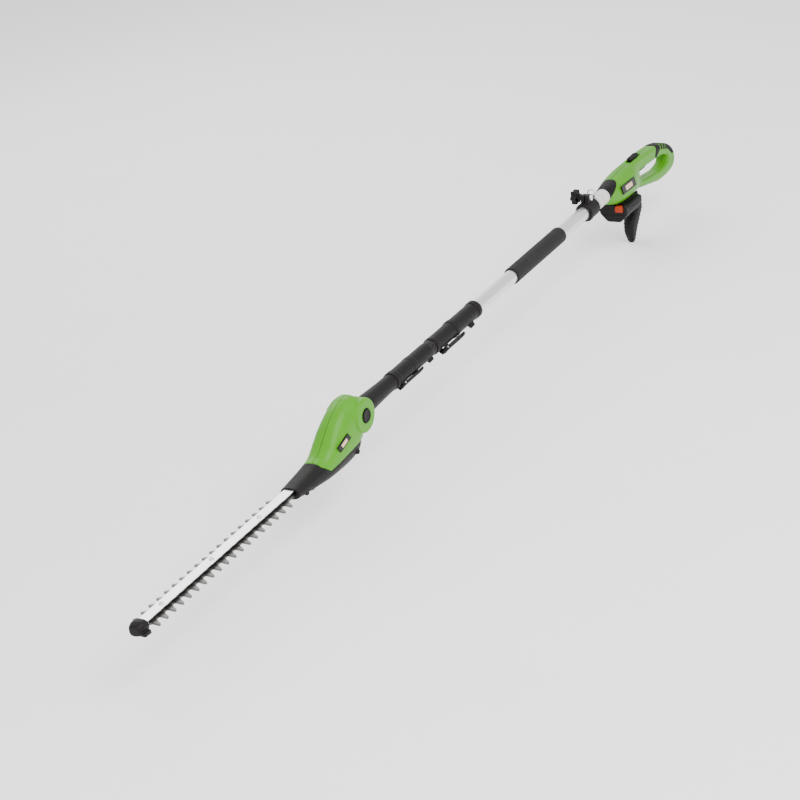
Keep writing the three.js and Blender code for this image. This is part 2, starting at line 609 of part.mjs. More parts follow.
function mouthCollar() {
  const bore = turnedX([[-1020, POLE_R + 0.1], [-940, POLE_R + 0.1]]);
  return cut(oval(BARREL, BARREL_POWER), behindMouth(0), bore);
}

function batteryRail() {
  return join(
    box(-1094, -1027, -RAIL.neck + GAP, RAIL.neck - GAP, -42.4, -37.9 - GAP),
    box(-1094, -1027, -RAIL.flange, RAIL.flange, -45.4, -42),
  );
}

// The battery's hexagonal section run along x, drawn in by inset.
function batteryBlock(x0, x1, inset, top) {
  const { half, side, bottom } = BATTERY;
  const wide = half - inset;
  const narrow = half - 17 - inset * 0.4;
  const shoulder = side - inset * 0.4;
  const section = roundedOutline([
    [-wide, top], [wide, top], [wide, shoulder],
    [narrow, bottom + inset], [-narrow, bottom + inset], [-wide, shoulder],
  ], inset > 0 ? 1 : 5);
  const options = { depth: x1 - x0, bevelEnabled: false, curveSegments: 3 };
  const geometry = new THREE.ExtrudeGeometry(section, options);
  return solid(geometry.rotateX(Math.PI / 2).rotateZ(Math.PI / 2).translate(x0, 0, 0));
}

function batteryCase() {
  const { front, rear, half, top, split } = BATTERY;
  const lip = box(front - 10, front, 4 - half, half - 4, top - 6, top + 3);
  const slot = join(
    box(rear - 5, -1024.5, -RAIL.neck - 0.4, RAIL.neck + 0.4, -44, 0),
    box(rear - 5, -1024.5, -RAIL.flange - 0.5, RAIL.flange + 0.5, -46, -41.6),
  );
  const cells = batteryBlock(rear + 3, front - 3, 2.6, -47.4);
  const buttonRoom = box(front - 9, front + 5, 5, 25, -53, top + 9);
  const hollow = cut(join(batteryBlock(rear, front, 0, top), lip), slot, cells, buttonRoom);
  return {
    upper: hollow.intersect(box(rear - 5, front + 5, -60, 60, split + GAP / 2, 0)),
    lower: hollow.intersect(box(rear - 5, front + 5, -60, 60, -100, split - GAP / 2)),
  };
}

function cellPack() {
  const middle = (BATTERY.front + BATTERY.rear) / 2;
  const cells = [-18.2, 0, 18.2].map((y) => turnedX([[middle - 32.5, 9.2], [middle + 32.5, 9.2]], 0, 16)
    .translate([0, y, -57.4]));
  return join(...cells);
}

function batteryButton() {
  const shape = roundedOutline([[5.6, -52.4], [24.4, -52.4], [23, -38.2], [7, -38.2]], 3);
  const geometry = new THREE.ExtrudeGeometry(shape, { depth: 7.5, bevelEnabled: false, curveSegments: 4 });
  return solid(geometry.rotateX(Math.PI / 2).rotateZ(Math.PI / 2).translate(BATTERY.front - 4, 0, 0));
}

function rearStand() {
  const levels = [
    { z: STAND_BOTTOM, x0: -1096, x1: -1085, half: 5.5 },
    { z: STAND_BOTTOM + 6, x0: -1100, x1: -1081, half: 8 },
    { z: -128, x0: -1109, x1: -1074, half: 11.5 },
    { z: -104, x0: -1126, x1: -1079, half: 14 },
    { z: -82, x0: -1140, x1: -1100, half: 15 },
    { z: -44, x0: -1124, x1: -1092, half: 15 },
  ];
  const rows = levels.length - 1;
  const geometry = new THREE.CylinderGeometry(1, 1, rows, 20, rows, false);
  const spots = geometry.attributes.position;
  const bend = (value) => Math.sign(value) * Math.abs(value) ** 0.6;
  for (let i = 0; i < spots.count; i += 1) {
    const level = levels[Math.round(spots.getY(i) + rows / 2)];
    const reach = Math.hypot(spots.getX(i), spots.getZ(i));
    const turn = Math.atan2(spots.getZ(i), spots.getX(i));
    const x = (level.x0 + level.x1) / 2 + reach * (level.x1 - level.x0) / 2 * bend(Math.cos(turn));
    spots.setXYZ(i, x, reach * level.half * bend(Math.sin(turn)), level.z);
  }
  const loopRoom = sidePlate([[-1080, -41.2], [-1130, -41.2], [-1180, -53], [-1180, 0], [-1080, 0]], -40, 40);
  const railRoom = box(-1096.8, -1000, -60, 60, -80, 0);
  return cut(solid(geometry), loopRoom, railRoom);
}

function buildHandle(parent) {
  const whole = housing();
  part('housing_left', left(whole), GREEN(), parent);
  part('housing_right', right(whole), GREEN(), parent);
  part('mouth_collar', mouthCollar(), BLACK(), parent);
  part('grip_saddle', saddle(), RUBBER(), parent);
  part('trigger', trigger(), BLACK(), parent);
  part('trigger_pin', rodY(2.05, TRIGGER_PIVOT.x, TRIGGER_PIVOT.z, -11.8, 11.8, 16), STEEL(), parent);
  part('lock_off_button', lockButton(), BLACK(), parent);
  part('switch_module', box(-1121, -1090, -8.8, 8.8, -13.4, 12.4), BLACK(), parent);
  part('control_board', box(-1080, -1030, -12.5, 12.5, -28, -26.4), BOARD(), parent);
  part('handle_badge', badge(HANDLE_BADGE), BLACK(), parent);
  part('battery_rail', batteryRail(), BLACK(), parent);
  const shells = batteryCase();
  part('battery_case_upper', shells.upper, BLACK(), parent);
  part('battery_case_lower', shells.lower, BLACK(), parent);
  part('cell_pack', cellPack(), DARK_STEEL(), parent);
  part('battery_button', batteryButton(), RED(), parent);
  part('rear_stand', rearStand(), BLACK(), parent);
  HANDLE_SCREWS.forEach(([x, z], i) => {
    const screw = join(rodY(3.2, x, z, -14.5, -11.9, 12), rodY(1.5, x, z, -12.5, 11.6, 12));
    part(`housing_screw_${i + 1}`, screw, STEEL(), parent);
  });
}

// ---- the whole tool ----
const trimmer = new THREE.Group();
trimmer.position.copy(ORIGIN);
buildHead(trimmer);
part('neck_tube', neckTube(), BLACK(), trimmer);
part('knuckle', knuckle(), BLACK(), trimmer);
buildCoupler(trimmer);
buildPole(trimmer);
buildHandle(trimmer);

export default trimmer;
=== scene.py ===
import bpy
import bmesh
import json
import math
from mathutils import Matrix, Vector


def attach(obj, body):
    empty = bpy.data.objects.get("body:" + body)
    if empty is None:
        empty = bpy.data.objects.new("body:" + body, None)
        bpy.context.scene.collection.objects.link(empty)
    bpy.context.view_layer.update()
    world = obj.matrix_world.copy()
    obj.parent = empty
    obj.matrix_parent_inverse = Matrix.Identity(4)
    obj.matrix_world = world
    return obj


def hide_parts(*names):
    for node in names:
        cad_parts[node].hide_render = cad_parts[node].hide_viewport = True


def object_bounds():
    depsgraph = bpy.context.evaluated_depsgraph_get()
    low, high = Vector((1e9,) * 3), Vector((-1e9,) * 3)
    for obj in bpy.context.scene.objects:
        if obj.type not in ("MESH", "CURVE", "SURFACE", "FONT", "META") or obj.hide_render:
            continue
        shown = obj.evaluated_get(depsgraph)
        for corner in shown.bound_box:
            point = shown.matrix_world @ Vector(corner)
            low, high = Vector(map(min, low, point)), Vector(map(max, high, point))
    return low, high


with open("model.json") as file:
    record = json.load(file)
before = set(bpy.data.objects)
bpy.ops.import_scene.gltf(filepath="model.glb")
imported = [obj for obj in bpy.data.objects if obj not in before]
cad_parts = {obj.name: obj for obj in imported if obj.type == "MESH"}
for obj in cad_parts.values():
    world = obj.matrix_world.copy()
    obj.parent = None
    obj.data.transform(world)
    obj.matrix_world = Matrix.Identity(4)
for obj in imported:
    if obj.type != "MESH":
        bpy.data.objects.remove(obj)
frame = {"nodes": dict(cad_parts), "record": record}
cad_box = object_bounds()
NODES = frame["nodes"]

# ---- the tool's own coordinates: millimetres, x forward along the pole, z up from the pole's axis ----
TIP_X = 856.0          # the guard's nose, the foremost point
FOOT_Z = -154.0        # the stand's foot, the lowest point
X0 = cad_box[1][0] - TIP_X / 1000
Z0 = cad_box[0][2] - FOOT_Z / 1000


def at(x, y, z):
    return Vector((x / 1000 + X0, y / 1000, z / 1000 + Z0))


# ---- how finely shapes are drawn ----
FINE = 96              # sides of the large round shapes
RELAX_FACTOR = 0.5     # how far each smoothing pass moves a point
SECTION_STEP = 3.0     # mm between the rows of a loft
CURVE_STEPS = 14       # pieces of a quadratic curve
RIM_STEPS = 7          # rows over a rounded rim
MERGE_REACH = 1e-7     # metres within which points are one


# ---- mesh helpers ----
def link(name, mesh):
    obj = bpy.data.objects.new(name, mesh)
    bpy.context.scene.collection.objects.link(obj)
    return obj


def mesh_object(name, points, faces):
    mesh = bpy.data.meshes.new(name)
    mesh.from_pydata([at(*p) for p in points], [], faces)
    bm = bmesh.new()
    bm.from_mesh(mesh)
    bmesh.ops.remove_doubles(bm, verts=bm.verts, dist=MERGE_REACH)
    bmesh.ops.recalc_face_normals(bm, faces=bm.faces)
    bm.to_mesh(mesh)
    bm.free()
    return link(name, mesh)


def remove(*objects):
    for obj in objects:
        bpy.data.objects.remove(obj)


def bake(obj):
    """Replaces the object's mesh by what its modifiers make of it."""
    bpy.context.view_layer.update()
    graph = bpy.context.evaluated_depsgraph_get()
    mesh = bpy.data.meshes.new_from_object(obj.evaluated_get(graph))
    obj.modifiers.clear()
    obj.data = mesh
    return obj


def boolean(obj, tools, operation):
    for tool in tools:
        modifier = obj.modifiers.new("bool", "BOOLEAN")
        modifier.operation = operation
        modifier.solver = "EXACT"
        modifier.object = tool
        bake(obj)
    return obj


def cut(obj, *tools):
    return boolean(obj, tools, "DIFFERENCE")


def keep(obj, *tools):
    return boolean(obj, tools, "INTERSECT")


def smooth(obj):
    obj.data.polygons.foreach_set("use_smooth", [True] * len(obj.data.polygons))
    return obj


def soften(obj, voxel, passes):
    """Voxel remesh, in mm, and a few smoothing passes: moulded edges."""
    modifier = obj.modifiers.new("voxels", "REMESH")
    modifier.mode = "VOXEL"
    modifier.voxel_size = voxel / 1000
    relax = obj.modifiers.new("relax", "SMOOTH")
    relax.factor = RELAX_FACTOR
    relax.iterations = passes
    return smooth(bake(obj))


def round_edges(obj, width, angle=30, segments=2):
    """Bevels, width in mm, where faces turn by more than the angle."""
    modifier = obj.modifiers.new("rim", "BEVEL")
    modifier.width = width / 1000
    modifier.segments = segments
    modifier.limit_method = "ANGLE"
    modifier.angle_limit = math.radians(angle)
    return bake(obj)


def smooth_by_angle(obj, angle=35):
    """Smooth faces, with sharp edges where they turn by more than the angle."""
    bm = bmesh.new()
    bm.from_mesh(obj.data)
    for face in bm.faces:
        face.smooth = True
    for edge in bm.edges:
        edge.smooth = edge.calc_face_angle(0) < math.radians(angle)
    bm.to_mesh(obj.data)
    bm.free()
    return obj


def copy_of(node, name):
    return link(name, NODES[node].data.copy())


def block(x0, x1, y0, y1, z0, z1, name="block"):
    points = [(x, y, z) for x in (x0, x1) for y in (y0, y1) for z in (z0, z1)]
    faces = [(0, 1, 3, 2), (4, 6, 7, 5), (0, 4, 5, 1), (2, 3, 7, 6), (0, 2, 6, 4), (1, 5, 7, 3)]
    return mesh_object(name, points, faces)


def grid_faces(rows, around, closed_ends=True):
    faces = []
    for i in range(rows - 1):
        for j in range(around):
            k = (j + 1) % around
            faces.append((i * around + j, i * around + k, (i + 1) * around + k, (i + 1) * around + j))
    if closed_ends:
        faces.append(tuple(range(around)))
        faces.append(tuple((rows - 1) * around + j for j in range(around)))
    return faces


def turned(name, profile, centre=(0, 0, 0), axis="x", around=64, bore=0.0):
    """A lathe shape. profile: (distance along the axis, radius). With a bore the ends are rings."""
    loop = list(profile)
    if bore:
        loop = loop + [(profile[-1][0], bore), (profile[0][0], bore)]
    points = []
    for along, radius in loop:
        for j in range(around):
            angle = 2 * math.pi * j / around
            a, b = radius * math.cos(angle), radius * math.sin(angle)
            offset = {"x": (along, a, b), "y": (a, along, b), "z": (a, b, along)}[axis]
            points.append([c + o for c, o in zip(centre, offset)])
    faces = grid_faces(len(loop), around, not bore)
    if bore:
        last = len(loop) - 1
        faces += [(last * around + j, last * around + (j + 1) % around, (j + 1) % around, j)
                  for j in range(around)]
    return mesh_object(name, points, faces)


def spline(rows, step):
    """Catmull-Rom through rows of numbers, the first of each falling or rising steadily."""
    out = []
    for i in range(len(rows) - 1):
        p0, p1, p2, p3 = (rows[max(i - 1, 0)], rows[i], rows[i + 1], rows[min(i + 2, len(rows) - 1)])
        count = max(1, round(abs(p2[0] - p1[0]) / step))
        for s in range(count):
            t = s / count
            row = []
            for a, b, c, d in zip(p0, p1, p2, p3):
                row.append(0.5 * (2 * b + (c - a) * t + (2 * a - 5 * b + 4 * c - d) * t * t
                                  + (3 * b - a - 3 * c + d) * t ** 3))
            row[0] = p1[0] + (p2[0] - p1[0]) * t
            out.append(row)
    out.append(list(rows[-1]))
    return out


def loft(name, sections, power, around, inset=0.0):
    """A closed body through super-ellipses along x: each section is (x, half width, top, bottom)."""
    rows = spline(sections, SECTION_STEP)
    points = []
    for x, half, top, bottom in rows:
        middle, tall, wide = (top + bottom) / 2, (top - bottom) / 2 - inset, half - inset
        for j in range(around):
            angle = 2 * math.pi * j / around
            c, s = math.cos(angle), math.sin(angle)
            y = wide * math.copysign(abs(c) ** (2 / power), c)
            z = middle + tall * math.copysign(abs(s) ** (2 / power), s)
            points.append((x, y, z))
    return mesh_object(name, points, grid_faces(len(rows), around))


def prism(name, outline, y0, y1):
    """A side outline in x and z, run from y0 to y1."""
    n = len(outline)
    points = [(x, y0, z) for x, z in outline] + [(x, y1, z) for x, z in outline]
    faces = [tuple(range(n)), tuple(range(n, 2 * n))]
    faces += [(i, (i + 1) % n, n + (i + 1) % n, n + i) for i in range(n)]
    return mesh_object(name, points, faces)


def quadratic(points, a, b, c):
    for i in range(1, CURVE_STEPS + 1):
        t = i / CURVE_STEPS
        points.append(tuple((1 - t) ** 2 * p + 2 * t * (1 - t) * q + t * t * r for p, q, r in zip(a, b, c)))


def curve_path(start, steps):
    """Lines (one point) and quadratic curves (control point, end point) from start."""
    points = [start]
    for step in steps:
        if len(step) == 1:
            points.append(step[0])
        else:
            quadratic(points, points[-1], step[0], step[1])
    return points[:-1] if math.dist(points[0], points[-1]) < 0.01 else points


def offset_outline(points, distance):
    area = sum(a[0] * b[1] - b[0] * a[1] for a, b in zip(points, points[1:] + points[:1]))
    sign = 1 if area > 0 else -1
    out = []
    for i, (x, z) in enumerate(points):
        ax, az = points[i - 1]
        bx, bz = points[(i + 1) % len(points)]
        tx, tz = bx - ax, bz - az
        length = math.hypot(tx, tz) or 1
        out.append((x + sign * tz / length * distance, z - sign * tx / length * distance))
    return out


def rounded_prism(name, outline, half, radius, grow=False, middle=0.0):
    """A side outline run across y with rounded rims. grow turns the rims outwards, for a hole's cutter."""
    points, n = [], len(outline)
    rows = []
    if grow:
        rows.append((-half - 12, radius))
    for k in range(RIM_STEPS + 1):
        angle = math.pi / 2 * k / RIM_STEPS
        inset = radius * (1 - math.sin(angle))
        rows.append((-half + radius * (1 - math.cos(angle)), inset))
    rows += [(-y, inset) for y, inset in reversed(rows)]
    for y, inset in rows:
        for x, z in offset_outline(outline, inset if grow else -inset):
            points.append((x, y + middle, z))
    return mesh_object(name, points, grid_faces(len(rows), n))


# ---- materials: everything is procedural, in object coordinates in metres ----
class Nodes:
    def __init__(self, name):
        self.material = bpy.data.materials.new(name)
        self.material.use_nodes = True
        self.tree = self.material.node_tree
        self.shader = self.tree.nodes["Principled BSDF"]
        self.place = self.add("ShaderNodeTexCoord").outputs["Object"]

    def add(self, kind, **settings):
        node = self.tree.nodes.new(kind)
        for key, value in settings.items():
            setattr(node, key, value)
        return node

    def wire(self, source, target):
        self.tree.links.new(source, target)

    def stretched(self, scale):
        mapping = self.add("ShaderNodeMapping")
        mapping.inputs["Scale"].default_value = scale
        self.wire(self.place, mapping.inputs["Vector"])
        return mapping.outputs["Vector"]

    def noise(self, scale, detail, rough=0.55, stretch=None):
        node = self.add("ShaderNodeTexNoise")
        node.inputs["Scale"].default_value = scale
        node.inputs["Detail"].default_value = detail
        node.inputs["Roughness"].default_value = rough
        self.wire(self.stretched(stretch) if stretch else self.place, node.inputs["Vector"])
        return node.outputs["Fac"]

    def cells(self, scale):
        node = self.add("ShaderNodeTexVoronoi", feature="F1")
        node.inputs["Scale"].default_value = scale
        self.wire(self.place, node.inputs["Vector"])
        return node.outputs["Distance"]

    def ramp(self, source, stops):
        node = self.add("ShaderNodeValToRGB")
        elements = node.color_ramp.elements
        for i, (position, color) in enumerate(stops):
            element = elements[i] if i < 2 else elements.new(position)
            element.position = position
            element.color = (*color, 1) if len(color) == 3 else color
        self.wire(source, node.inputs["Fac"])
        return node.outputs["Color"]

    def levels(self, source, low, high, out_low, out_high):
        node = self.add("ShaderNodeMapRange")
        for key, value in (("From Min", low), ("From Max", high), ("To Min", out_low), ("To Max", out_high)):
            node.inputs[key].default_value = value
        self.wire(source, node.inputs["Value"])
        return node.outputs["Result"]

    def mix(self, factor, first, second):
        node = self.add("ShaderNodeMix", data_type="RGBA")
        self.wire(factor, node.inputs["Factor"])
        for value, socket in ((first, node.inputs[6]), (second, node.inputs[7])):
            if isinstance(value, tuple):
                socket.default_value = (*value, 1)
            else:
                self.wire(value, socket)
        return node.outputs[2]

    def bump(self, *layers):
        """layers: (height source, depth in metres)."""
        normal = None
        for height, depth in layers:
            node = self.add("ShaderNodeBump")
            node.inputs["Strength"].default_value = 1.0
            node.inputs["Distance"].default_value = depth
            self.wire(height, node.inputs["Height"])
            if normal is not None:
                self.wire(normal, node.inputs["Normal"])
            normal = node.outputs["Normal"]
        self.wire(normal, self.shader.inputs["Normal"])

    def edge_wear(self, low, high):
        geometry = self.add("ShaderNodeNewGeometry")
        return self.levels(geometry.outputs["Pointiness"], low, high, 0.0, 1.0)

    def set(self, **values):
        for key, value in values.items():
            self.shader.inputs[key.replace("_", " ")].default_value = value

    def paint(self, color, roughness):
        self.wire(color, self.shader.inputs["Base Color"])
        self.wire(roughness, self.shader.inputs["Roughness"])


def drift(color, spread):
    """A darker and a lighter version of a colour."""
    return tuple(c * (1 - spread) for c in color), tuple(min(1, c * (1 + spread)) for c in color)


def plastic(name, color, rough, grain=0.00004, grain_scale=2600.0, spread=0.10, worn=None, coat=0.0):
    """Moulded plastic: slow tone drift, fine spark-eroded grain, faint scuffs and rubbed edges."""
    n = Nodes(name)
    dark, light = drift(color, spread)
    tone = n.ramp(n.noise(14, 5), [(0.3, dark), (0.7, light)])
    rub = n.edge_wear(0.54, 0.66)
    patchy = n.levels(n.noise(160, 6), 0.42, 0.62, 0.0, 1.0)
    both = n.add("ShaderNodeMath", operation="MULTIPLY")
    n.wire(rub, both.inputs[0])
    n.wire(patchy, both.inputs[1])
    tinted = n.mix(both.outputs[0], tone, worn or tuple(min(1, c * 1.25 + 0.012) for c in color))
    dust = n.levels(n.noise(55, 8, 0.7), 0.52, 0.78, 0.0, 0.10)
    final = n.mix(dust, tinted, tuple(min(1, c * 0.8 + 0.015) for c in color))
    n.paint(final, n.levels(n.noise(240, 5), 0.3, 0.7, rough - 0.06, rough + 0.08))
    scuff = n.levels(n.noise(60, 6, 0.6, stretch=(1, 6, 6)), 0.60, 0.66, 0.0, 1.0)
    n.bump((n.noise(grain_scale, 3), grain), (scuff, 0.00001), (n.noise(40, 2), 0.00012))
    n.set(IOR=1.42, Specular_IOR_Level=0.22)
    if coat:
        n.set(Coat_Weight=coat, Coat_Roughness=0.12)
    return n.material


def metal(name, color, rough, along=(3, 300, 300), depth=0.000012, stain=(0.5, 0.48, 0.45), worn=None,
          spread=0.08):
    """Metal with lines along x, drift in tone, and a little staining."""
    n = Nodes(name)
    dark, light = drift(color, spread)
    lines = n.noise(8, 6, 0.6, stretch=along)
    tone = n.ramp(lines, [(0.35, dark), (0.65, light)])
    patches = n.levels(n.noise(32, 7, 0.65), 0.55, 0.75, 0.0, 0.35)
    stained = n.mix(patches, tone, tuple(a * b for a, b in zip(color, stain)))
    if worn:
        stained = n.mix(n.edge_wear(0.52, 0.58), stained, worn)
    n.paint(stained, n.levels(n.noise(8, 6, 0.6, stretch=along), 0.3, 0.7, rough - 0.07, rough + 0.1))
    n.bump((lines, depth), (n.noise(90, 4), 0.00002))
    n.set(Metallic=1.0)
    return n.material


def foam_material(name):
    n = Nodes(name)
    pores = n.cells(1500)
    tone = n.ramp(pores, [(0.0, (0.004, 0.0038, 0.0038)), (0.55, (0.012, 0.011, 0.011))])
    shade = n.mix(n.levels(n.noise(45, 5), 0.4, 0.7, 0.0, 0.5), tone, (0.017, 0.016, 0.0155))
    n.paint(shade, n.levels(n.noise(300, 3), 0.3, 0.7, 0.8, 0.95))
    n.bump((pores, 0.00025), (n.noise(120, 4), 0.0005))
    n.set(Sheen_Weight=0.04, Sheen_Roughness=0.5, Specular_IOR_Level=0.2)
    return n.material


def rubber_material(name):
    n = Nodes(name)
    tone = n.ramp(n.noise(60, 6), [(0.35, (0.005, 0.0046, 0.0046)), (0.7, (0.010, 0.0095, 0.0095))])
    worn = n.mix(n.edge_wear(0.53, 0.62), tone, (0.025, 0.024, 0.023))
    n.paint(worn, n.levels(n.noise(260, 4), 0.3, 0.7, 0.62, 0.8))
    n.bump((n.cells(2400), 0.00006), (n.noise(900, 3), 0.00005))
    n.set(Specular_IOR_Level=0.2)
    return n.material


def board_material(name):
    n = Nodes(name)
    tracks = n.add("ShaderNodeTexBrick")
    tracks.inputs["Scale"].default_value = 260
    tracks.inputs["Color1"].default_value = (0.012, 0.09, 0.03, 1)
    tracks.inputs["Color2"].default_value = (0.02, 0.14, 0.05, 1)
    tracks.inputs["Mortar"].default_value = (0.35, 0.22, 0.08, 1)
    n.wire(n.place, tracks.inputs["Vector"])
    n.wire(tracks.outputs["Color"], n.shader.inputs["Base Color"])
    n.wire(n.levels(n.noise(300, 3), 0.3, 0.7, 0.3, 0.5), n.shader.inputs["Roughness"])
    n.bump((tracks.outputs["Fac"], 0.00005))
    return n.material


GREEN = (0.062, 0.255, 0.006)
LOOKS = {
    "green_shell": plastic("green_moulding", GREEN, 0.36, worn=(0.11, 0.35, 0.02), coat=0.06, spread=0.07),
    "black_plastic": plastic("black_moulding", (0.0045, 0.0038, 0.0037), 0.52, grain=0.00007,
                             grain_scale=1900, worn=(0.028, 0.026, 0.025), spread=0.18),
    "nameplate": plastic("plate_black", (0.003, 0.003, 0.003), 0.3, grain=0.00001,
                         worn=(0.012, 0.012, 0.012)),
    "soft_grip": rubber_material("soft_rubber"),
    "foam": foam_material("closed_foam"),
    "aluminium_tube": metal("anodised_tube", (0.80, 0.795, 0.80), 0.3, along=(2, 260, 260), depth=0.000006,
                            stain=(0.82, 0.81, 0.8), spread=0.04),
    "bar_metal": metal("bar_aluminium", (0.74, 0.735, 0.73), 0.32, worn=(0.9, 0.9, 0.9)),
    "blade_steel": metal("blade_steel", (0.045, 0.043, 0.04), 0.42, along=(260, 4, 260),
                         worn=(0.16, 0.155, 0.15), spread=0.2),
    "steel": metal("zinc_steel", (0.55, 0.55, 0.56), 0.33, along=(60, 60, 60), worn=(0.8, 0.8, 0.8)),
    "brass": metal("gear_brass", (0.72, 0.5, 0.2), 0.34, along=(60, 60, 60), worn=(0.9, 0.7, 0.35)),
    "board": board_material("green_board"),
    "grey_plastic": plastic("pale_collar", (0.62, 0.61, 0.60), 0.4, spread=0.04),
    "cell_sleeve": plastic("cell_wrap", (0.05, 0.12, 0.30), 0.3, grain=0.00001, coat=0.3),
    "red_plastic": plastic("red_moulding", (0.33, 0.030, 0.006), 0.4, worn=(0.45, 0.08, 0.03)),
}
# Near-black metal for the strips along the blade bar's sides: painted shade standing in for the bar's shadowed
# sides.
BAR_SIDE_SHADE = metal("bar_side_shade", (0.02, 0.019, 0.018), 0.5)
PANEL = plastic("plate_panel", (0.62, 0.42, 0.27), 0.35, grain=0.00001, coat=0.3, spread=0.05)
SLOT_OF = {part["node"]: part["material_slot"] for part in frame["record"]["subparts"]}
BODY_OF = {}
for body_name, members in frame["record"]["behaviour"]["bodies"].items():
    for member in members:
        BODY_OF[member] = body_name


def dress(obj, look):
    obj.data.materials.clear()
    obj.data.materials.append(LOOKS[look] if isinstance(look, str) else look)
    return obj


def stand_for(obj, *names):
    """obj takes the place, body, slot and look of these CAD nodes."""
    dress(obj, SLOT_OF[names[0]])
    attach(obj, BODY_OF[names[0]])
    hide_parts(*names)
    return obj


def extra(obj, body, slot, look=None):
    dress(obj, look or slot)
    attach(obj, body)
    return obj


for node_name, node_object in NODES.items():
    dress(node_object, SLOT_OF[node_name])


# ---- the head ----
PIVOT = (137.0, 0.0, 5.0)
EAR_GAP = 12.8
HEAD_POWER = 2.4       # roundness of the head's sections: 2 is an ellipse, more is boxier
HEAD = [(150, 29, 47, -60), (165, 31, 45.5, -66), (183, 31.3, 40.5, -68.5), (200, 30.8, 33, -69.5),
        (221, 30, 20.5, -69), (241, 28.8, 4, -68), (258, 27.2, -10.5, -66.5), (272, 26, -17.8, -65),
        (300, 24.6, -23.6, -61), (340, 22, -27.5, -56), (368, 20, -30, -52)]
EAR = [(112, 24, 27, -16), (125, 28.5, 38.5, -24), (140, 30.5, 46, -29), (160, 31, 47, -32),
       (176, 31, 42.5, -35)]
SHELL_WALL = 2.6
COVER_WALL = 2.8
KNUCKLE_ROOM = 36.5    # radius left free for the knuckle between the ears
COVER_ROOM = 38.5      # radius left free for the knuckle behind the black cover
CAP_R = 13.4           # the tilt button and the cap opposite
BOSS = [(-30.4, 22), (-29.6, 25), (-28, 26.8), (-25, 27.5), (8, 27.5), (12, 33), (28, 33), (30.5, 32.4),
        (32.3, 31), (33, 28.5)]
NOTCHES = 18           # grip notches round the tilt button
NOTCH_REACH = 13.6
COVER_BOSSES = (175, 0, -50), (342, 0, -50)
COVER_SCREW = (318, 14.5)
# The line where green meets black, seen from the side, and the same line on the black cover's side.
SEAM = [(286.5, 60), (286.5, -20), (287, -27), (267, -44), (150, -33)]
COVER_SEAM = [(286.8, -19.7), (287.6, -27), (267.3, -44.3), (158, -34.2)]
HEAD_BADGE = {"x": 218, "z": -11, "y": 28.4, "thick": 2.6, "length": 46, "height": 14.5, "slope": 15}
HANDLE_BADGE = {"x": -1048, "z": -2.5, "y": 26.4, "thick": 2.6, "length": 76, "height": 21, "slope": -2}
BADGE_LEAN = 0.35      # how far the ends slant, as a share of the plate's height
HALF_GAP = 0.15        # half the gap between left and right shells


def left_of(obj, side):
    low, high = (HALF_GAP, 200) if side > 0 else (-200, -HALF_GAP)
    tool = block(-1500, 1500, low, high, -300, 300)
    keep(obj, tool)
    remove(tool)
    return obj


def slanted(name, spec, y0, y1, share_x=1.0, share_z=1.0, grow=0.0):
    """A nameplate's slanted outline, run from y0 to y1 beyond its seat."""
    half, tall = spec["length"] / 2 * share_x + grow, spec["height"] / 2 * share_z + grow
    lean = spec["height"] * BADGE_LEAN * share_z
    angle = math.radians(spec["slope"])
    outline = []
    for x, z in [(-half, -tall), (half - lean, -tall), (half, tall), (lean - half, tall)]:
        outline.append((spec["x"] + x * math.cos(angle) + z * math.sin(angle),
                        spec["z"] - x * math.sin(angle) + z * math.cos(angle)))
    return prism(name, outline, spec["y"] + y0, spec["y"] + y1)


def about_pivot(name, profile, bore=0.0):
    return turned(name, profile, PIVOT, "y", 72, bore)


